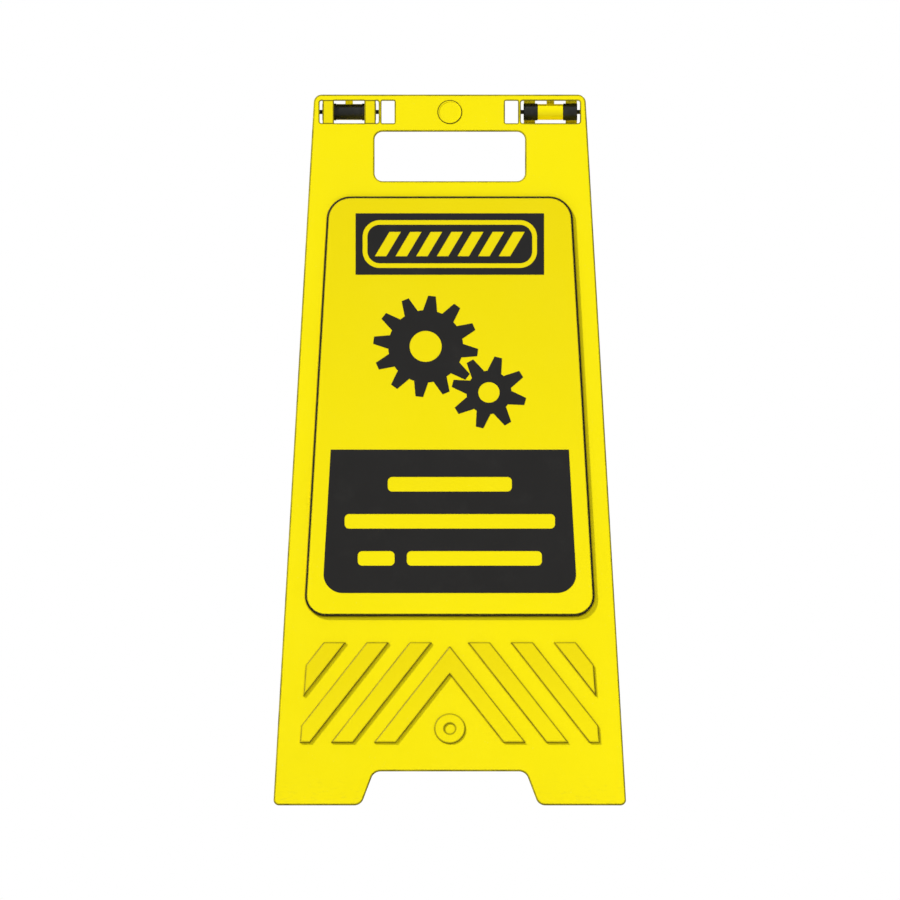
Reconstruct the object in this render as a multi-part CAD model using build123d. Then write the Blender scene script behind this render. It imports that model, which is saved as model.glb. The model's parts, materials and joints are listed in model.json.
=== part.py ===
from build123d import *
from math import cos, radians, sin, tan
import os

# Folding floor sign: two equal moulded leaves that turn on two hinge pins at the top.
# Origin: on the floor, midway between the feet. +Z is up, the front face looks towards -Y.
# A drop is a distance down the leaf from its top edge, a depth one out of the fold plane.
# Millimetres and degrees throughout.

# Stance, with the sign standing open
STAND_HEIGHT = 604.0
BASE_WIDTH = 300.0
TOP_WIDTH = 230.4
LEAN = 15.0

# Leaf shell
FACE_WALL = 2.5
RIM_WALL = 2.5
TOP_RAIL = 5.5
RAIL_LAP = 0.1
FOOT_WALL = 3.0
TOP_CORNER = 7.0
FOOT_CORNER = 4.7
EDGE_ROUND = 1.0
FOLD_GAP = 0.8
STOP_GAP = 0.2

# Notch between the two feet of a leaf
NOTCH_TOP_WIDTH = 129.0
NOTCH_BASE_WIDTH = 151.0
NOTCH_HEIGHT = 29.9
NOTCH_CORNER = 8.3

# Hinge pins
BARREL_RADIUS = 7.2
STUB_RADIUS = 1.8
BARREL_END_GAP = 2.3
STUB_END_GAP = 0.3
PIN_END_ROUND = 0.6
RUN_CLEARANCE = 0.08
SNUG_CLEARANCE = 0.04

# Hinge windows in the top corners, with their straps, hooks and cheeks
WINDOW_MARGIN = 4.6
WINDOW_WIDTH = 50.2
WINDOW_HEIGHT = 19.7
WINDOW_CORNER = 1.7
STRAP_WALL = 2.72
STRAP_WIDTH = 9.7
STRAP_END_GAP = 2.5
STRAP_BACK = 1.5
HOOK_WIDTH = 21.3
HOOK_WALL = 1.0
BAND_START = -48.0
BAND_END = 78.0
STEM_WIDTH = 6.5
STEM_END = 125.0
STEM_WALL = 3.0
STEM_SKIN = 1.0
HOOK_SIDE_GAP = 0.3
HOOK_PROUD = 0.4
EAR_WALL = 2.5
EAR_RELIEF = 0.6
CHEEK_WALL = 2.4
SLOT_WIDTH = 11.1
SLOT_CORNER = 0.8
HINGE_WALL = 1.8
HINGE_ROUND = 0.4

# Carrying opening, with the gap between it and the windows
HANDLE_GAP = 7.5
HANDLE_WIDTH = 127.9
HANDLE_HEIGHT = 43.5
HANDLE_CORNER = 7.0
HANDLE_WALL = 2.5

# Raised sign panel, with the gap between it and the carrying opening
PANEL_GAP = 14.0
PANEL_MARGIN = 16.7
PANEL_TOP_CORNER = 20.5
PANEL_FOOT_CORNER = 17.5
PANEL_RISE = 3.0

# Raised chevron stripes, with the gaps between their field and the panel above and the notch below
FIELD_GAP = 23.0
FIELD_HEIGHT = 87.9
NOTCH_GAP = 25.2
FIELD_TOP_MARGIN = 21.3
FIELD_FOOT_MARGIN = 19.7
STRIPE_COUNT = 4
STRIPE_ANGLE = 37.2
STRIPE_WIDTH = 18.6
STRIPE_PITCH = 36.5
STRIPE_APEX = 3.3
STRIPE_RISE = 2.0

# Moulding boss with a blind dimple, its centre above the foot of the stripes
BOSS_LIFT = 12.3
BOSS_RADIUS = 13.1
BOSS_RISE = 1.2
DIMPLE_RADIUS = 4.8
DIMPLE_DEPTH = 1.0

# Stiffening ribs on the back of the face
RIB_WALL = 1.8
RIB_BACK = 3.0
POST_SPACING = 104.0
PANEL_RAILS = 3

# Blank badge disc, let into the face between the windows
BADGE_RADIUS = 10.3
BADGE_THICKNESS = 1.0
BADGE_SEAT = 0.6
BADGE_RING = 1.2
BADGE_CLEARANCE = 0.3

# Header film: a plate with a ring and slanted bars cut out of it
FILM = 0.2
HEADER_GAP = 15.1
HEADER_WIDTH = 160.0
HEADER_HEIGHT = 53.9
RING_MARGIN = 5.8
RING_WIDTH = 4.3
RING_CORNER = 14.8
HAZARD_COUNT = 7
HAZARD_WIDTH = 10.0
HAZARD_MARGIN = 6.0
HAZARD_SLANT = 30.0

# Message film: a plate with plain bars cut out where rows of words would stand
MESSAGE_GAP = 20.1
MESSAGE_MARGIN = 14.8
MESSAGE_CORNER = 16.2
BAR_BORDER = 23.9
BAR_HEIGHT = 13.0
BAR_GAP = 10.2
BAR_CORNER = 4.0
BAR_ROWS = ((105.7,), (179.0,), (31.5, 115.0))

# Pictogram film: two cogs that share the room under the header with the message film,
# with the gap above and below them and the message's height over theirs
PICTOGRAM_GAP = 18.6
MESSAGE_RATIO = 1.079
BIG_COG_TEETH = 12
SMALL_COG_TEETH = 8
COG_SLOPE = 37.0
COG_GAP = 3.8
COG_HUB = 0.36
TOOTH_ROOT = 1.84
TOOTH_TIP = 1.0

# Sizes of the leaf and its hinge that follow from those above
LEAF_DEPTH = BARREL_RADIUS + RUN_CLEARANCE + STRAP_WALL
LEAF_LENGTH = STAND_HEIGHT / cos(radians(LEAN))
SIDE_SLOPE = (BASE_WIDTH - TOP_WIDTH) / 2 / LEAF_LENGTH
HOOK_OUTER = BARREL_RADIUS + HOOK_PROUD
HOOK_INNER = HOOK_OUTER - HOOK_WALL
NECK_RADIUS = HOOK_INNER - RUN_CLEARANCE
WINDOW_TOP = BARREL_RADIUS - RAIL_LAP
AXIS_DROP = WINDOW_TOP + TOP_RAIL
AXIS_HEIGHT = (LEAF_LENGTH - AXIS_DROP) * cos(radians(LEAN)) - LEAF_DEPTH * sin(radians(LEAN))
EAR_RADIUS = STUB_RADIUS + EAR_WALL
FACE_BACK = LEAF_DEPTH - FACE_WALL
RIM_BACK = FOLD_GAP / 2
PANEL_FACE = LEAF_DEPTH + PANEL_RISE
HALF_WINDOW = WINDOW_WIDTH / 2
HINGE_OFFSET = TOP_WIDTH / 2 - WINDOW_MARGIN - HALF_WINDOW
WINDOW_INNER = HINGE_OFFSET - HALF_WINDOW
WINDOW_OUTER = HINGE_OFFSET + HALF_WINDOW
SLOT_OUTER = WINDOW_INNER - CHEEK_WALL
SLOT_INNER = SLOT_OUTER - SLOT_WIDTH
CUT_REACH = STAND_HEIGHT

# Places down the face that follow from those above
WINDOW_SILL = TOP_RAIL + WINDOW_HEIGHT
BADGE_DROP = TOP_RAIL + WINDOW_HEIGHT / 2
HANDLE_DROP = WINDOW_SILL + HANDLE_GAP
HANDLE_FOOT = HANDLE_DROP + HANDLE_HEIGHT
FIELD_FOOT = LEAF_LENGTH - NOTCH_HEIGHT - NOTCH_GAP
FIELD_DROP = FIELD_FOOT - FIELD_HEIGHT
BOSS_DROP = FIELD_FOOT - BOSS_LIFT
PANEL_DROP = HANDLE_FOOT + PANEL_GAP
PANEL_FOOT = FIELD_DROP - FIELD_GAP
HEADER_DROP = PANEL_DROP + HEADER_GAP
HEADER_FOOT = HEADER_DROP + HEADER_HEIGHT
MESSAGE_FOOT = PANEL_FOOT - MESSAGE_GAP
PICTOGRAM_HEIGHT = (MESSAGE_FOOT - HEADER_FOOT - 2 * PICTOGRAM_GAP) / (1 + MESSAGE_RATIO)
MESSAGE_HEIGHT = PICTOGRAM_HEIGHT * MESSAGE_RATIO
MESSAGE_DROP = MESSAGE_FOOT - MESSAGE_HEIGHT
BAR_PITCH = (MESSAGE_HEIGHT - 2 * BAR_BORDER - BAR_HEIGHT) / (len(BAR_ROWS) - 1)
RAIL_STEP = (PANEL_FOOT - PANEL_DROP) / (PANEL_RAILS + 1)
RAIL_DROPS = [PANEL_DROP + RAIL_STEP * (row + 1) for row in range(PANEL_RAILS)]
RAIL_DROPS += [PANEL_FOOT + FIELD_GAP / 2, FIELD_FOOT + NOTCH_GAP / 2]


def half_width(drop):
    """Half the leaf's width at a drop."""
    return TOP_WIDTH / 2 + drop * SIDE_SLOPE


def rounded(points, radii):
    """Face of a closed outline with its own radius at each corner."""
    return make_face(FilletPolyline(*points, radius=radii, close=True))


def polygon(points):
    """Face of a closed outline with sharp corners."""
    return make_face(Polyline(*points, close=True))


def prism(profile, back, front):
    """Solid of a face profile, drawn from the leaf's top edge, between two depths."""
    plane = Plane(origin=(0, -back, AXIS_DROP), x_dir=(1, 0, 0), z_dir=(0, -1, 0))
    return extrude(plane * profile, front - back, dir=(0, -1, 0))


def level_run(profile, back, front):
    """Solid of a face profile that runs back level with the floor of the open sign, between two depths."""
    rise = (LEAF_DEPTH - front) * tan(radians(LEAN))
    plane = Plane(origin=(0, -front, AXIS_DROP + rise), x_dir=(1, 0, 0), z_dir=(0, -1, 0))
    run = (0, cos(radians(LEAN)), sin(radians(LEAN)))
    return extrude(plane * profile, (front - back) / cos(radians(LEAN)), dir=run)


def slice_across(profile, low, high):
    """Solid of a side profile, drawn about the hinge axis, between two places across the leaf."""
    return extrude(Plane.YZ.offset(low) * profile, high - low, dir=(1, 0, 0))


def box_between(low_x, high_x, low_drop, high_drop):
    """Rectangle on the face between two places across and two drops."""
    middle = ((low_x + high_x) / 2, -(low_drop + high_drop) / 2)
    return Pos(*middle) * Rectangle(high_x - low_x, high_drop - low_drop)


def tapered(top, foot, top_inset, foot_inset):
    """Corners of an area between two drops, with its sides inset from the leaf's sides at each drop."""
    half_top = half_width(top) - top_inset
    half_foot = half_width(foot) - foot_inset
    return [(-half_top, -top), (half_top, -top), (half_foot, -foot), (-half_foot, -foot)]


def both_sides(profile):
    """The profile and its mirror image about the leaf's centre line."""
    return Sketch() + [profile, mirror(profile, Plane.YZ)]


def leaf_outline():
    """Tapered leaf with rounded corners and a notch between its feet."""
    foot = -LEAF_LENGTH
    right = [
        (TOP_WIDTH / 2, 0),
        (BASE_WIDTH / 2, foot),
        (NOTCH_BASE_WIDTH / 2, foot),
        (NOTCH_TOP_WIDTH / 2, foot + NOTCH_HEIGHT),
    ]
    radii = [TOP_CORNER, FOOT_CORNER, NOTCH_CORNER, NOTCH_CORNER]
    left = [(-x, z) for x, z in reversed(right)]
    return rounded(right + left, radii + radii[::-1])


def handle_profile(margin):
    """Carrying opening, grown by a margin all round."""
    middle = Pos(0, -(HANDLE_DROP + HANDLE_FOOT) / 2)
    width = HANDLE_WIDTH + 2 * margin
    height = HANDLE_HEIGHT + 2 * margin
    return middle * RectangleRounded(width, height, HANDLE_CORNER + margin)


def window_profile():
    """Right hinge window."""
    middle = Pos(HINGE_OFFSET, -TOP_RAIL - WINDOW_HEIGHT / 2)
    return middle * RectangleRounded(WINDOW_WIDTH, WINDOW_HEIGHT, WINDOW_CORNER)


def slot_profile():
    """Right relief slot, which lets the cheek beside it spring aside for the pin."""
    middle = Pos(SLOT_INNER + SLOT_WIDTH / 2, -TOP_RAIL - WINDOW_HEIGHT / 2)
    return middle * RectangleRounded(SLOT_WIDTH, WINDOW_HEIGHT, SLOT_CORNER)


def strap_profile():
    """Pair of straps that cross the left window in front of the pin, with their ends in its frame."""
    outer = HALF_WINDOW - STRAP_END_GAP
    strap = box_between(outer - STRAP_WIDTH, outer, TOP_RAIL / 2, WINDOW_SILL + HINGE_WALL / 2)
    return Pos(-HINGE_OFFSET, 0) * both_sides(strap)


def cavity_profile():
    """Hollow of the leaf's back, inside the rim, less the walls round all the openings."""
    room = box_between(-BASE_WIDTH, BASE_WIDTH, TOP_RAIL, LEAF_LENGTH - FOOT_WALL)
    hollow = (offset(leaf_outline(), -RIM_WALL) & room) - handle_profile(HANDLE_WALL)
    sill = box_between(SLOT_INNER - HINGE_WALL, BASE_WIDTH, WINDOW_SILL, WINDOW_SILL + HINGE_WALL)
    slot_side = box_between(SLOT_INNER - HINGE_WALL, SLOT_INNER, 0, WINDOW_SILL)
    cheek = box_between(SLOT_OUTER, WINDOW_INNER, 0, WINDOW_SILL)
    return hollow - both_sides(sill) - both_sides(slot_side) - cheek


def panel_profile(inset):
    """Raised sign panel, drawn in by an inset all round."""
    margin = PANEL_MARGIN + inset
    points = tapered(PANEL_DROP + inset, PANEL_FOOT - inset, margin, margin)
    top_corner = PANEL_TOP_CORNER - inset
    foot_corner = PANEL_FOOT_CORNER - inset
    return rounded(points, [top_corner, top_corner, foot_corner, foot_corner])


def stripe_profiles():
    """Chevron stripes: a central inverted V, then pairs of slanted bars clipped to the field."""
    field = polygon(tapered(FIELD_DROP, FIELD_FOOT, FIELD_TOP_MARGIN, FIELD_FOOT_MARGIN))
    right_half = field & box_between(0, BASE_WIDTH, FIELD_DROP, FIELD_FOOT)
    spread = tan(radians(STRIPE_ANGLE))
    stripes = []
    for step in range(STRIPE_COUNT):
        outer_top = step * STRIPE_PITCH - STRIPE_APEX * spread
        outer_foot = outer_top + FIELD_HEIGHT * spread
        bar = polygon([
            (outer_top - STRIPE_WIDTH, -FIELD_DROP),
            (outer_top, -FIELD_DROP),
            (outer_foot, -FIELD_FOOT),
            (outer_foot - STRIPE_WIDTH, -FIELD_FOOT),
        ])
        stripes.extend(both_sides(bar & right_half).faces())
    return stripes


def rounded_pad(profile, rise):
    """Moulded pad that stands proud of the face, with its outer arris rounded."""
    pad = prism(profile, FACE_BACK, LEAF_DEPTH + rise)
    crown = pad.faces().sort_by(Axis.Y)[0]
    shortest = min(edge.length for edge in crown.edges())
    return fillet(crown.edges(), min(EDGE_ROUND, rise / 2, shortest / 4))


def round_front(block, radius, chosen):
    """Round the front edges along the wires that are chosen by the height of their centres."""
    front = block.faces().sort_by(Axis.Y)[0]
    wires = [wire for wire in front.wires() if chosen(wire.bounding_box().center().Z)]
    return fillet([edge for wire in wires for edge in wire.edges()], radius)


def shell():
    """Face and rim of the leaf with all its openings, hollow at the back."""
    block = level_run(leaf_outline(), RIM_BACK, LEAF_DEPTH)
    for opening in (handle_profile(0), both_sides(window_profile()), both_sides(slot_profile())):
        block -= level_run(opening, 0, LEAF_DEPTH)
    block += level_run(strap_profile(), FACE_BACK, LEAF_DEPTH)
    handle_top = AXIS_DROP - HANDLE_DROP
    block = round_front(block, HINGE_ROUND, lambda height: height > handle_top)
    block = round_front(block, EDGE_ROUND, lambda height: height < handle_top)
    return block - level_run(cavity_profile(), 0, FACE_BACK)


def ribs():
    """Lattice of ribs behind the panel and the face."""
    half = RIB_WALL / 2
    rails = [box_between(-BASE_WIDTH, BASE_WIDTH, drop - half, drop + half) for drop in RAIL_DROPS]
    middle = POST_SPACING / 2
    post = box_between(middle - half, middle + half, HANDLE_FOOT, PANEL_FOOT)
    lattice = Sketch() + rails + [both_sides(post)]
    in_rim = lattice & offset(leaf_outline(), -RIM_WALL / 2)
    in_panel = lattice & panel_profile(FACE_WALL / 2)
    behind_face = prism(in_rim, RIB_BACK, LEAF_DEPTH - FACE_WALL / 2)
    return behind_face + prism(in_panel, RIB_BACK, PANEL_FACE - FACE_WALL / 2)


def half_space(distance):
    """Everything beyond a plane that lies square to +Y at a distance from the origin."""
    return Pos(0, distance + CUT_REACH, 0) * Box(2 * CUT_REACH, 2 * CUT_REACH, 2 * CUT_REACH)


def strap_backs():
    """Backs of the straps, hollowed to run on the pin's barrel."""
    barrel = slice_across(Circle(BARREL_RADIUS + RUN_CLEARANCE), -WINDOW_OUTER, -WINDOW_INNER)
    return level_run(strap_profile(), STRAP_BACK, FACE_BACK) - barrel


def hook_arc(end):
    """Side profile of the hook about the pin's neck, from its free edge to an angle."""
    outer = CenterArc((0, 0), HOOK_OUTER, BAND_START, end - BAND_START)
    inner = CenterArc((0, 0), HOOK_INNER, BAND_START, end - BAND_START)
    return make_face([outer, inner, Line(outer @ 0, inner @ 0), Line(outer @ 1, inner @ 1)])


def hook():
    """Snap hook: a band behind the left pin's neck, hung from the top rail by a narrow stem."""
    root_top = AXIS_DROP - STEM_SKIN
    root_foot = HOOK_INNER * sin(radians(STEM_END))
    rail_back = (STOP_GAP / 2 + root_top * sin(radians(LEAN))) / cos(radians(LEAN))
    middle = Pos(-rail_back - STEM_WALL / 2, (root_foot + root_top) / 2)
    root = middle * Rectangle(STEM_WALL, root_top - root_foot)
    stem = Sketch() + [hook_arc(STEM_END), root] - Circle(HOOK_INNER)
    pieces = Part()
    for profile, width in ((hook_arc(BAND_END), HOOK_WIDTH), (stem, STEM_WIDTH)):
        pieces += slice_across(profile, -HINGE_OFFSET - width / 2, -HINGE_OFFSET + width / 2)
    return pieces


def ear(low, high):
    """Cheek that carries one stub of the pin, rounded about the hinge axis."""
    disc = Circle(EAR_RADIUS)
    neck = Pos(-FACE_BACK / 2, 0) * Rectangle(FACE_BACK, 2 * EAR_RADIUS)
    return slice_across(disc + neck, low, high)


def leaf():
    """One moulded leaf, drawn about the hinge axis and square to it."""
    body = shell() + strap_backs()
    raised = [(panel_profile(0), PANEL_RISE, panel_profile(FACE_WALL))]
    for stripe in stripe_profiles():
        raised.append((stripe, STRIPE_RISE, offset(stripe, -FACE_WALL)))
    for profile, rise, hollow in raised:
        body += rounded_pad(profile, rise)
        body -= prism(hollow, RIM_BACK, LEAF_DEPTH + rise - FACE_WALL)
    body += ribs()
    boss = Pos(0, -BOSS_DROP) * Circle(BOSS_RADIUS)
    dimple = Pos(0, -BOSS_DROP) * Circle(DIMPLE_RADIUS)
    body += rounded_pad(boss, BOSS_RISE)
    body -= prism(dimple, LEAF_DEPTH + BOSS_RISE - DIMPLE_DEPTH, LEAF_DEPTH + BOSS_RISE)
    seat = Pos(0, -BADGE_DROP) * Circle(BADGE_RADIUS + BADGE_CLEARANCE)
    body -= prism(seat, LEAF_DEPTH - BADGE_SEAT, LEAF_DEPTH)
    body -= Rot(X=LEAN) * half_space(-STOP_GAP / 2)
    body -= slice_across(Circle(EAR_RADIUS + EAR_RELIEF), -BASE_WIDTH, -WINDOW_OUTER)
    body += hook()
    outline = level_run(leaf_outline(), -EAR_RADIUS, LEAF_DEPTH)
    body += ear(WINDOW_OUTER, BASE_WIDTH / 2) & outline
    body += ear(SLOT_OUTER, WINDOW_INNER)
    return body - slice_across(Circle(STUB_RADIUS + SNUG_CLEARANCE), SLOT_INNER, BASE_WIDTH)


def hinge_pin():
    """Black pin: a barrel with a narrower neck for the hook and a stub at each end."""
    neck = HOOK_WIDTH / 2 + HOOK_SIDE_GAP
    end = HALF_WINDOW - BARREL_END_GAP
    tip = HALF_WINDOW + CHEEK_WALL - STUB_END_GAP
    right = [
        (neck, NECK_RADIUS),
        (neck, BARREL_RADIUS),
        (end, BARREL_RADIUS),
        (end, STUB_RADIUS),
        (tip, STUB_RADIUS),
        (tip, 0),
    ]
    radii = [0, 0, PIN_END_ROUND, 0, PIN_END_ROUND, 0]
    left = [(-x, radius) for x, radius in reversed(right)]
    return revolve(rounded(left + right, radii[::-1] + radii), Axis.X)


def badge():
    """Blank disc with a raised ring, seated in its recess."""
    place = Pos(0, -BADGE_DROP)
    foot = LEAF_DEPTH - BADGE_SEAT
    crown = foot + BADGE_THICKNESS
    disc = prism(place * Circle(BADGE_RADIUS), foot, crown)
    return disc - prism(place * Circle(BADGE_RADIUS - BADGE_RING), LEAF_DEPTH, crown)


def film(profile):
    """Printed film that lies on the sign panel."""
    return prism(profile, PANEL_FACE, PANEL_FACE + FILM)


def header_decal():
    """Header plate with its ring and a row of slanted hazard bars inside the ring."""
    width = HEADER_WIDTH - 2 * RING_MARGIN
    height = HEADER_HEIGHT - 2 * RING_MARGIN
    inner_width = width - 2 * RING_WIDTH
    inner_height = height - 2 * RING_WIDTH
    ring = RectangleRounded(width, height, RING_CORNER)
    ring -= RectangleRounded(inner_width, inner_height, RING_CORNER - RING_WIDTH)
    rise = inner_height / 2 - HAZARD_MARGIN
    shift = rise * tan(radians(HAZARD_SLANT))
    half = HAZARD_WIDTH / 2
    bar = polygon([
        (-shift - half, -rise),
        (-shift + half, -rise),
        (shift + half, rise),
        (shift - half, rise),
    ])
    reach = inner_width / 2 - HAZARD_MARGIN - shift - half
    pitch = 2 * reach / (HAZARD_COUNT - 1)
    bars = [Pos(-reach + step * pitch, 0) * bar for step in range(HAZARD_COUNT)]
    plate = Rectangle(HEADER_WIDTH, HEADER_HEIGHT) - ring - bars
    return film(Pos(0, -(HEADER_DROP + HEADER_FOOT) / 2) * plate)


def cog(module, teeth, turn):
    """Generic cog with a round hub opening, its teeth two modules high about the pitch circle."""
    pitch_radius = module * teeth / 2
    root = pitch_radius - module
    tip = pitch_radius + module
    half_root = module * TOOTH_ROOT / 2
    half_tip = module * TOOTH_TIP / 2
    tooth = polygon([
        (0, -half_root),
        (root, -half_root),
        (tip, -half_tip),
        (tip, half_tip),
        (root, half_root),
        (0, half_root),
    ])
    turned = [Rot(Z=turn + 360 / teeth * step) * tooth for step in range(teeth)]
    return Circle(root) + turned - Circle(pitch_radius * COG_HUB)


def pictogram_decal():
    """Two cogs in mesh, the small one lower on the right, as a generic sign of machinery."""
    fall = sin(radians(COG_SLOPE))
    both_radii = (BIG_COG_TEETH + SMALL_COG_TEETH) / 2
    module = (PICTOGRAM_HEIGHT - COG_GAP * fall) / (both_radii * (1 + fall) + 2)
    apart = module * both_radii + COG_GAP
    across = apart * cos(radians(COG_SLOPE))
    down = apart * fall
    shift = module * (SMALL_COG_TEETH - BIG_COG_TEETH) / 4
    half_pitch = 180 / SMALL_COG_TEETH
    big = cog(module, BIG_COG_TEETH, -COG_SLOPE)
    small = cog(module, SMALL_COG_TEETH, 180 - COG_SLOPE + half_pitch)
    pair = Sketch() + [
        Pos(-across / 2 - shift, down / 2 + shift) * big,
        Pos(across / 2 - shift, -down / 2 + shift) * small,
    ]
    return film(Pos(0, -(HEADER_FOOT + MESSAGE_DROP) / 2) * pair)


def message_decal():
    """Message plate with rows of plain bars about its middle."""
    margin = PANEL_MARGIN + MESSAGE_MARGIN
    points = tapered(MESSAGE_DROP, MESSAGE_FOOT, margin, margin)
    plate = rounded(points, [0, 0, MESSAGE_CORNER, MESSAGE_CORNER])
    first = MESSAGE_DROP + BAR_BORDER + BAR_HEIGHT / 2
    for row, widths in enumerate(BAR_ROWS):
        place = -(sum(widths) + BAR_GAP * (len(widths) - 1)) / 2
        drop = first + row * BAR_PITCH
        for width in widths:
            plate -= Pos(place + width / 2, -drop) * RectangleRounded(width, BAR_HEIGHT, BAR_CORNER)
            place += width + BAR_GAP
    return film(plate)


def main():
    os.makedirs("parts", exist_ok=True)
    front = Pos(0, 0, AXIS_HEIGHT) * Rot(X=-LEAN)
    half_turn = Rot(Z=180)
    pieces = {
        "leaf": leaf(),
        "header_decal": header_decal(),
        "pictogram_decal": pictogram_decal(),
        "message_decal": message_decal(),
        "badge": badge(),
    }
    for name, piece in pieces.items():
        standing = front * piece
        export_step(standing, f"parts/front_{name}.step")
        export_step(half_turn * standing, f"parts/rear_{name}.step")
    for name, side in (("left", -1), ("right", 1)):
        pin = Pos(side * HINGE_OFFSET, 0, AXIS_HEIGHT) * hinge_pin()
        export_step(pin, f"parts/{name}_hinge_pin.step")


main()
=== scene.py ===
"""Looks of the folding floor sign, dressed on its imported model. Metres, in the model's own frame."""

import json
import math

import bpy
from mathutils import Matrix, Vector

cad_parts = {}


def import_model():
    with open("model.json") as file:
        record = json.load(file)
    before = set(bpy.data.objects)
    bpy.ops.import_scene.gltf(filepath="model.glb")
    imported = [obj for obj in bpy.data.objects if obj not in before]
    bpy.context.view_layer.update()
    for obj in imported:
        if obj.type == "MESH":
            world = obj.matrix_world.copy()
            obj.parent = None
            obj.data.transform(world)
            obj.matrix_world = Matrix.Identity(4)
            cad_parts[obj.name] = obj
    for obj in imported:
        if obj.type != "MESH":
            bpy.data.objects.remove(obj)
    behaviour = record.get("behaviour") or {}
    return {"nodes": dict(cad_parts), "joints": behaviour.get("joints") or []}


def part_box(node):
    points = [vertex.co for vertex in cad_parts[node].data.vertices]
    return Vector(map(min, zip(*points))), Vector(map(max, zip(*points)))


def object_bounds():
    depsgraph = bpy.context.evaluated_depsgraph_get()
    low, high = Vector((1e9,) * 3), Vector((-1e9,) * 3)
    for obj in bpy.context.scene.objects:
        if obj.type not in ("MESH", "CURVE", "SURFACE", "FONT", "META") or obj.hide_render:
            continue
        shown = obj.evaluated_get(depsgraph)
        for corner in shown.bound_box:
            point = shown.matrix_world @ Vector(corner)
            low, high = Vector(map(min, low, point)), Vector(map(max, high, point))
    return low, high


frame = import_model()
cad_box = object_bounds()

# Hinge, top edge, badge and hinge windows, from the model
hinge = frame["joints"][0]
HINGE_HEIGHT = hinge["pos_m"][2]
LEAN = math.radians(hinge["range_deg"][1] / 2)
TOP_EDGE = cad_box[1].z
badge_low, badge_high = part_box("front_badge")
BADGE_MIDDLE = (badge_low + badge_high) / 2
BADGE_RADIUS = (badge_high.x - badge_low.x) / 2
pin_low, pin_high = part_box("right_hinge_pin")
WINDOW_ACROSS = (pin_low.x + pin_high.x) / 2

# Heights on the open sign
SCUFF_FOOT = 0.002
SCUFF_TOP = 0.035
STRIPES_FOOT = 0.055
STRIPES_TOP = 0.140
PANEL_FOOT = 0.160
PANEL_TOP = 0.517

# A leaf's face: its depth out of the fold plane, and how far behind and ahead of it its masks start
FACE_DEPTH = 0.010
FRONT_STARTS = 0.00125
LANDS_START = 0.0011

# Straps over a window: their sides from its middle, their ends from the hinge line, and their tones
STRAP_NEAR = 0.0128
STRAP_FAR = 0.0227
STRAP_END = 0.00975
STRAP_TONE = 0.75
STRAP_LINE_TONE = 0.9

# Widths of the lines along edges, which paint shade on the leaves' edges and the straps' ends, and the
# share of their tone that the fainter ones have
FACE_LINE = 0.0013
PANEL_LINE = 0.0022
FINE_LINE = 0.0008
TOP_LINE = 0.0009
STRAP_LINE = 0.0010
BADGE_LINE = 0.00055
PIN_LINE = 0.0012
FAINT = 0.4

# Reach of the painted shade in creases, and the room round the badge and the hinge line that is kept
# clear
CREASE_SHADE_REACH = 0.0016
BADGE_CLEAR = 0.0020
HINGE_CLEAR = 0.013
HINGE_SHADE_CLEAR = 0.017

# Skin: depth of its grain, and its scratches' scale along them as a share of that across
GRAIN_DEPTH = 0.0003
SCRATCH_STRETCH = 0.02

# Photograph: a level front view without perspective
VIEW_WIDTH = 0.7648
VIEW_CENTRE = (0.0002, 0.3020)
CAMERA_DISTANCE = 3.0

# Light: a soft key from the upper left, a weaker lamp from behind, and an even surround
KEY_FROM = (-0.612, -0.324, 0.721)
KEY_STRENGTH = 2.75
BACK_FROM = (0.35, 0.75, 0.56)
BACK_STRENGTH = 1.6
LAMP_ANGLE = math.radians(5)
SURROUND = 0.38

# Floor: half of its side, and the glow that makes it white where it is seen
FLOOR_HALF = 8.0
FLOOR_GLOW = 0.70

# Colours, linear
YELLOW = (0.965, 0.826, 0.0008, 1)
DEEP_YELLOW = (0.86, 0.707, 0.0006, 1)
# Painted shade: the olive lines along edges and at the straps' ends, and the near-black line round the
# panel; the olive also lines the badge's rim
EDGE_OLIVE = (0.12, 0.098, 0.003, 1)
PANEL_OLIVE = (0.008, 0.007, 0.002, 1)
# Painted shade in the creases
CREASE_SHADE = (0.10, 0.08, 0.005, 1)
SCUFF = (0.34, 0.28, 0.05, 1)
SCRATCH_PALE = (0.98, 0.90, 0.20, 1)
INK = (0.0070, 0.0064, 0.0058, 1)
INK_WORN = (0.030, 0.028, 0.025, 1)
PIN_BLACK = (0.0085, 0.0085, 0.0065, 1)
PIN_WORN = (0.045, 0.045, 0.040, 1)
FLOOR_PALE = (0.75, 0.75, 0.74, 1)
FLOOR_SHADE = (0.25, 0.25, 0.25, 1)
WHITE = (1, 1, 1, 1)


def add(tree, kind, inputs=None, **settings):
    """New shader node, with each input set to a value or linked from another node's output."""
    made = tree.nodes.new("ShaderNode" + kind)
    for name, value in settings.items():
        setattr(made, name, value)
    for name, value in (inputs or {}).items():
        if isinstance(value, bpy.types.NodeSocket):
            tree.links.new(value, made.inputs[name])
        else:
            made.inputs[name].default_value = value
    return made


def empty_tree(owner):
    """Node tree of a material or world, with nothing in it."""
    owner.use_nodes = True
    owner.node_tree.nodes.clear()
    return owner.node_tree


def new_material(name):
    """Empty material with its output and its shader."""
    material = bpy.data.materials.new(name)
    tree = empty_tree(material)
    shader = add(tree, "BsdfPrincipled")
    add(tree, "OutputMaterial", {"Surface": shader.outputs["BSDF"]})
    return material, tree, shader


def new_object(name, data):
    """Object of some data, in the scene."""
    piece = bpy.data.objects.new(name, data)
    bpy.context.scene.collection.objects.link(piece)
    return piece


def object_place(tree):
    """Place in the piece's own frame, which moves with it."""
    return add(tree, "TexCoord").outputs["Object"]


def height(tree, place):
    """Height of a place above the floor of the open sign."""
    return add(tree, "SeparateXYZ", {0: place}).outputs["Z"]


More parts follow.
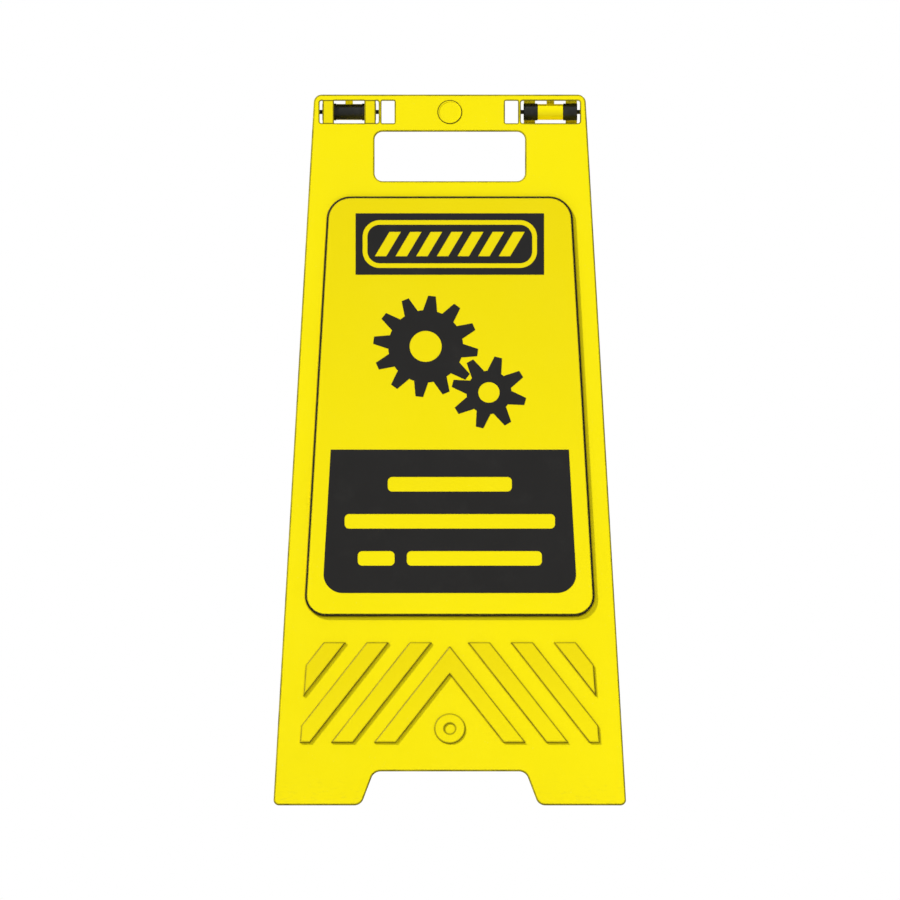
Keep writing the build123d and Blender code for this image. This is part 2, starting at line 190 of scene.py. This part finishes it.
def maths(tree, operation, first, second):
    """Result of an operation on two values."""
    return add(tree, "Math", {0: first, 1: second}, operation=operation).outputs["Value"]


def product(tree, first, *others):
    """Product of two or more values."""
    for other in others:
        first = maths(tree, "MULTIPLY", first, other)
    return first


def apart(tree, value, level):
    """How far a value lies from a level, either way."""
    return maths(tree, "ABSOLUTE", maths(tree, "SUBTRACT", value, level), 0.0)


def ramp(tree, value, over, share=(0.0, 1.0)):
    """Smooth step between two shares, as a value runs over two bounds."""
    inputs = {
        "Value": value,
        "From Min": over[0],
        "From Max": over[1],
        "To Min": share[0],
        "To Max": share[1],
    }
    return add(tree, "MapRange", inputs, interpolation_type="SMOOTHSTEP").outputs["Result"]


def beyond(tree, value, level, blur):
    """0 below a level and 1 above it, with a blur to each side of it."""
    return ramp(tree, value, over=(level - blur, level + blur))


def short_of(tree, value, level, blur):
    """1 below a level and 0 above it, with a blur to each side of it."""
    return ramp(tree, value, over=(level - blur, level + blur), share=(1.0, 0.0))


def between(tree, mask, off, on):
    """Off where a mask is 0, on where it is 1, and smoothly between them."""
    return ramp(tree, mask, over=(0.0, 1.0), share=(off, on))


def mixed(tree, share, first, second):
    """Colour between two others, which are inputs 6 and 7 of the node."""
    return add(tree, "Mix", {0: share, 6: first, 7: second}, data_type="RGBA").outputs[2]


def noise(tree, place, scale, detail=3.0, rough=0.55):
    """Noise value from 0 to 1, its scale in cells to a metre."""
    inputs = {"Vector": place, "Scale": scale, "Detail": detail, "Roughness": rough}
    return add(tree, "TexNoise", inputs).outputs["Fac"]


def patches(tree, place, scale, over, share, detail=3.0):
    """Soft patches, between two shares over two bounds of a noise."""
    return ramp(tree, noise(tree, place, scale, detail), over, share)


def streaks(tree, place, turn, scale, detail, rough):
    """Noise value, turned and with a scale of its own along each axis."""
    inputs = {"Vector": place, "Rotation": turn, "Scale": scale}
    return noise(tree, add(tree, "Mapping", inputs).outputs["Vector"], 1.0, detail, rough)


def scratches(tree, place, turn, scale, strength):
    """Sparse fine scratches that run one way."""
    stretched = (scale, scale * SCRATCH_STRETCH, scale)
    value = streaks(tree, place, turn, stretched, detail=2.0, rough=0.5)
    return ramp(tree, value, over=(0.70, 0.76), share=(0.0, strength))


def crease_mask(tree, distance, inside=False, samples=6):
    """High in hollow corners, or along outer edges where it looks inside the solid."""
    occlusion = add(tree, "AmbientOcclusion", {"Distance": distance}, inside=inside, samples=samples)
    return maths(tree, "SUBTRACT", 1.0, occlusion.outputs["AO"])


def either_leaf(tree, vector):
    """Vector with its signs dropped, so that both leaves and both sides read alike."""
    return add(tree, "VectorMath", {0: vector}, operation="ABSOLUTE").outputs["Vector"]


def out_of_leaf(tree, vector):
    """How far a vector points out of either leaf's face."""
    inputs = {0: either_leaf(tree, vector), 1: (0, math.cos(LEAN), math.sin(LEAN))}
    return add(tree, "VectorMath", inputs, operation="DOT_PRODUCT").outputs["Value"]


def leaf_depth(tree, place):
    """Distance out of a leaf's fold plane."""
    return maths(tree, "SUBTRACT", out_of_leaf(tree, place), HINGE_HEIGHT * math.sin(LEAN))


def badge_radius(tree, place):
    """Distance from the middle of a badge."""
    inputs = {0: either_leaf(tree, place), 1: [abs(value) for value in BADGE_MIDDLE]}
    return add(tree, "VectorMath", inputs, operation="DISTANCE").outputs["Value"]


def hinge_distance(tree, place):
    """Distance from the hinge line."""
    inputs = {0: place, 1: (0, 1, 1)}
    section = add(tree, "VectorMath", inputs, operation="MULTIPLY").outputs["Vector"]
    inputs = {0: section, 1: (0, 0, HINGE_HEIGHT)}
    return add(tree, "VectorMath", inputs, operation="DISTANCE").outputs["Value"]


def front_mask(tree, place):
    """High on a leaf's face and what stands proud of it."""
    return beyond(tree, leaf_depth(tree, place), FACE_DEPTH - FRONT_STARTS, blur=0.00025)


def proud_mask(tree, place):
    """High on the lands that stand proud of a leaf's face."""
    return beyond(tree, leaf_depth(tree, place), FACE_DEPTH + LANDS_START, blur=0.0005)


def panel_mask(tree, place):
    """High on the sign panel, which stands proud above the stripes."""
    above = ramp(tree, height(tree, place), over=(STRIPES_TOP, PANEL_FOOT))
    return product(tree, proud_mask(tree, place), above)


def arris_mask(tree, place):
    """High on the rounded arrises between a leaf's broad faces and its sides, and along its top."""
    facing = out_of_leaf(tree, add(tree, "TexCoord").outputs["Normal"])
    turned = ramp(tree, facing, over=(0.90, 0.98), share=(1.0, 0.0))
    top = beyond(tree, height(tree, place), TOP_EDGE - TOP_LINE, blur=0.0003)
    off_side = ramp(tree, facing, over=(0.32, 0.45))
    return product(tree, off_side, maths(tree, "MAXIMUM", turned, top))


def edge_mask(tree, place):
    """High along outer edges, where lines of painted shade go: broad in front, faint behind, none in
    the hinge or round the badge.
    """
    front = front_mask(tree, place)
    panel = panel_mask(tree, place)
    stripes = maths(tree, "SUBTRACT", proud_mask(tree, place), panel)
    width = between(tree, panel, off=FACE_LINE, on=PANEL_LINE)
    broad = ramp(tree, crease_mask(tree, width, inside=True, samples=12), over=(0.02, 0.08))
    broad = product(tree, broad, front, between(tree, stripes, off=1.0, on=FAINT))
    narrow = ramp(tree, crease_mask(tree, FINE_LINE, inside=True), over=(0.12, 0.34))
    narrow = maths(tree, "MAXIMUM", arris_mask(tree, place), narrow)
    off_hinge = beyond(tree, hinge_distance(tree, place), HINGE_CLEAR, blur=0.001)
    narrow = product(tree, narrow, off_hinge, between(tree, front, off=FAINT, on=1.0))
    off_badge = beyond(tree, badge_radius(tree, place), BADGE_RADIUS + BADGE_CLEAR, blur=0.0002)
    return product(tree, off_badge, maths(tree, "MAXIMUM", broad, narrow))


def mottled_yellow(tree, place):
    """Yellow of the mouldings with soft mottling and fine scratches."""
    mottle = patches(tree, place, scale=14.0, over=(0.35, 0.75), share=(0.0, 0.12), detail=4.0)
    colour = mixed(tree, mottle, YELLOW, DEEP_YELLOW)
    scratched = scratches(tree, place, turn=(0.4, 0.3, 0.7), scale=700.0, strength=0.25)
    return mixed(tree, scratched, colour, SCRATCH_PALE)


def shaded_raised_lands(tree, place, colour):
    """Painted shade: deeper yellow on the lands that stand proud, growing up the stripes and up the
    panel.
    """
    level = height(tree, place)
    stripes = ramp(tree, level, over=(STRIPES_FOOT, STRIPES_TOP), share=(0.25, 0.85))
    below = ramp(tree, level, over=(STRIPES_TOP, PANEL_FOOT), share=(1.0, 0.0))
    inputs = {"Value": level, "From Min": PANEL_FOOT, "From Max": PANEL_TOP}
    panel = add(tree, "MapRange", inputs).outputs["Result"]
    painted_shade = maths(tree, "MAXIMUM", product(tree, stripes, below), panel)
    return mixed(tree, product(tree, proud_mask(tree, place), painted_shade), colour, DEEP_YELLOW)


def hinge_straps(tree, place, colour):
    """Deeper yellow on the straps over a leaf's left window, with a painted shade line in olive across
    their ends, where no step is modelled.
    """
    parts = add(tree, "SeparateXYZ", {0: place}).outputs
    left = maths(tree, "GREATER_THAN", product(tree, parts["X"], parts["Y"]), 0.0)
    across = apart(tree, maths(tree, "ABSOLUTE", parts["X"], 0.0), WINDOW_ACROSS)
    past_near = beyond(tree, across, STRAP_NEAR, blur=0.0001)
    before_far = short_of(tree, across, STRAP_FAR, blur=0.0001)
    strap = product(tree, left, past_near, before_far, front_mask(tree, place))
    level = apart(tree, parts["Z"], HINGE_HEIGHT)
    before_end = short_of(tree, level, STRAP_END, blur=0.0001)
    at_end = short_of(tree, apart(tree, level, STRAP_END), STRAP_LINE / 2, blur=0.00025)
    colour = mixed(tree, product(tree, strap, before_end, STRAP_TONE), colour, DEEP_YELLOW)
    return mixed(tree, product(tree, strap, at_end, STRAP_LINE_TONE), colour, EDGE_OLIVE)


def foot_scuffs(tree, place, colour):
    """Rubbed marks that thin out up the feet."""
    low = ramp(tree, height(tree, place), over=(SCUFF_FOOT, SCUFF_TOP), share=(1.0, 0.0))
    value = streaks(tree, place, (0, 0.2, 0), (160.0, 160.0, 480.0), detail=5.0, rough=0.6)
    marks = ramp(tree, value, over=(0.50, 0.75), share=(0.0, 0.14))
    return mixed(tree, product(tree, low, marks), colour, SCUFF)


def shaded_edge_lines(tree, place, colour):
    """Painted shade: an olive line along the edges, patchy, but solid and darkest round the panel."""
    panel = panel_mask(tree, place)
    patchy = patches(tree, place, scale=60.0, over=(0.3, 0.7), share=(0.75, 0.97))
    share = product(tree, edge_mask(tree, place), maths(tree, "MAXIMUM", patchy, panel))
    return mixed(tree, share, colour, mixed(tree, panel, EDGE_OLIVE, PANEL_OLIVE))


def painted_crease_shade(tree, place, colour):
    """Painted shade: dark in the creases round raised lands, with none of it near the hinge line."""
    crease = ramp(tree, crease_mask(tree, CREASE_SHADE_REACH), over=(0.12, 0.42))
    uneven = patches(tree, place, scale=35.0, over=(0.2, 0.6), share=(0.35, 0.6))
    kept = beyond(tree, hinge_distance(tree, place), HINGE_SHADE_CLEAR, blur=0.005)
    return mixed(tree, product(tree, crease, uneven, kept), colour, CREASE_SHADE)


def surface(tree, shader, colour, roughness, specular, grain, strength):
    """Wire a colour, a roughness and a fine grain into a shader."""
    tree.links.new(colour, shader.inputs["Base Color"])
    tree.links.new(roughness, shader.inputs["Roughness"])
    shader.inputs["Specular IOR Level"].default_value = specular
    bump = add(tree, "Bump", {"Height": grain, "Strength": strength, "Distance": GRAIN_DEPTH})
    tree.links.new(bump.outputs["Normal"], shader.inputs["Normal"])


def moulded_plastic():
    """Satin yellow polypropylene with a stippled skin."""
    material, tree, shader = new_material("moulded_yellow")
    place = object_place(tree)
    colour = mottled_yellow(tree, place)
    # Of these layers, the raised lands' deeper tone, the straps' end lines, the edge lines and the
    # dark in creases are painted shade
    for layer in (shaded_raised_lands, hinge_straps, foot_scuffs, shaded_edge_lines, painted_crease_shade):
        colour = layer(tree, place, colour)
    roughness = patches(tree, place, scale=22.0, over=(0.4, 0.75), share=(0.40, 0.55), detail=5.0)
    grain = noise(tree, place, scale=1400.0, detail=2.0)
    surface(tree, shader, colour, roughness, specular=0.12, grain=grain, strength=0.15)
    return material


def badge_plastic():
    """Blank yellow disc with a thin olive line round its rim."""
    material, tree, shader = new_material("badge_yellow")
    place = object_place(tree)
    rim = beyond(tree, badge_radius(tree, place), BADGE_RADIUS - BADGE_LINE, blur=0.00015)
    colour = mixed(tree, rim, mottled_yellow(tree, place), EDGE_OLIVE)
    roughness = patches(tree, place, scale=90.0, over=(0.35, 0.7), share=(0.36, 0.5), detail=4.0)
    grain = noise(tree, place, scale=1400.0, detail=2.0)
    surface(tree, shader, colour, roughness, specular=0.12, grain=grain, strength=0.1)
    return material


def printed_film():
    """Black satin vinyl with a faint orange-peel skin, rubbed patches and fine scratches."""
    material, tree, shader = new_material("black_vinyl")
    place = object_place(tree)
    rubbed = patches(tree, place, scale=45.0, over=(0.5, 0.8), share=(0.0, 0.2), detail=5.0)
    scratched = scratches(tree, place, turn=(0.3, 0.2, 0.6), scale=900.0, strength=0.35)
    colour = mixed(tree, maths(tree, "MAXIMUM", rubbed, scratched), INK, INK_WORN)
    roughness = patches(tree, place, scale=30.0, over=(0.35, 0.7), share=(0.38, 0.5), detail=4.0)
    grain = noise(tree, place, scale=500.0, detail=2.0)
    surface(tree, shader, colour, roughness, specular=0.2, grain=grain, strength=0.08)
    return material


def pin_plastic():
    """Matt black pin, rubbed along its edges and in patches."""
    material, tree, shader = new_material("matt_black")
    place = object_place(tree)
    edge = ramp(tree, crease_mask(tree, PIN_LINE, inside=True), over=(0.3, 0.8), share=(0.0, 0.5))
    rubbed = patches(tree, place, scale=120.0, over=(0.5, 0.75), share=(0.0, 0.35), detail=4.0)
    colour = mixed(tree, maths(tree, "MAXIMUM", edge, rubbed), PIN_BLACK, PIN_WORN)
    roughness = patches(tree, place, scale=80.0, over=(0.3, 0.7), share=(0.42, 0.6))
    grain = noise(tree, place, scale=1800.0, detail=2.0)
    surface(tree, shader, colour, roughness, specular=0.25, grain=grain, strength=0.15)
    return material


def dress():
    """Give every piece of the model the finish that the last word of its name stands for."""
    finishes = {
        "leaf": moulded_plastic(),
        "badge": badge_plastic(),
        "decal": printed_film(),
        "pin": pin_plastic(),
    }
    for name, piece in frame["nodes"].items():
        finish = finishes[name.rsplit("_", 1)[-1]]
        piece.data.materials.clear()
        piece.data.materials.append(finish)


def seen_ray(tree):
    """1 for a ray of the camera, of a reflection or through glass, and 0 for one that only lights."""
    path = add(tree, "LightPath").outputs
    seen = maths(tree, "MAXIMUM", path["Is Camera Ray"], path["Is Glossy Ray"])
    return maths(tree, "MAXIMUM", seen, path["Is Transmission Ray"])


def floor():
    """Pale floor that the camera sees as white, with the sign's shadow on it."""
    corners = [(x * FLOOR_HALF, y * FLOOR_HALF, 0) for x, y in ((-1, -1), (1, -1), (1, 1), (-1, 1))]
    mesh = bpy.data.meshes.new("floor")
    mesh.from_pydata(corners, [], [(0, 1, 2, 3)])
    piece = new_object("floor", mesh)
    material = bpy.data.materials.new("floor")
    tree = empty_tree(material)
    pale = add(tree, "BsdfDiffuse", {"Color": FLOOR_PALE})
    shade = add(tree, "BsdfDiffuse", {"Color": FLOOR_SHADE})
    glow = add(tree, "Emission", {"Color": WHITE, "Strength": FLOOR_GLOW})
    seen = add(tree, "AddShader", {0: shade.outputs[0], 1: glow.outputs[0]})
    mix = add(tree, "MixShader", {0: seen_ray(tree), 1: pale.outputs[0], 2: seen.outputs[0]})
    add(tree, "OutputMaterial", {"Surface": mix.outputs[0]})
    mesh.materials.append(material)


def world():
    """Soft even light, which shows as white behind the sign and in its reflections."""
    scene_world = bpy.data.worlds.new("studio")
    bpy.context.scene.world = scene_world
    tree = empty_tree(scene_world)
    soft = add(tree, "Background", {"Color": WHITE, "Strength": SURROUND})
    white = add(tree, "Background", {"Color": WHITE, "Strength": 1.0})
    mix = add(tree, "MixShader", {0: seen_ray(tree), 1: soft.outputs[0], 2: white.outputs[0]})
    add(tree, "OutputWorld", {"Surface": mix.outputs[0]})


def lamp(name, direction, strength):
    """Far soft lamp whose light comes from a direction."""
    data = bpy.data.lights.new(name, "SUN")
    data.energy = strength
    data.angle = LAMP_ANGLE
    piece = new_object(name, data)
    piece.rotation_euler = (-Vector(direction)).to_track_quat("-Z", "Y").to_euler()


def camera():
    """Camera at the photograph's viewing angle."""
    data = bpy.data.cameras.new("camera")
    data.type = "ORTHO"
    data.ortho_scale = VIEW_WIDTH
    piece = new_object("camera", data)
    piece.location = (VIEW_CENTRE[0], -CAMERA_DISTANCE, VIEW_CENTRE[1])
    piece.rotation_euler = Vector((0, 1, 0)).to_track_quat("-Z", "Y").to_euler()
    bpy.context.scene.camera = piece


dress()
floor()
world()
lamp("key", KEY_FROM, KEY_STRENGTH)
lamp("back", BACK_FROM, BACK_STRENGTH)
camera()
bpy.context.scene.view_settings.view_transform = "Standard"
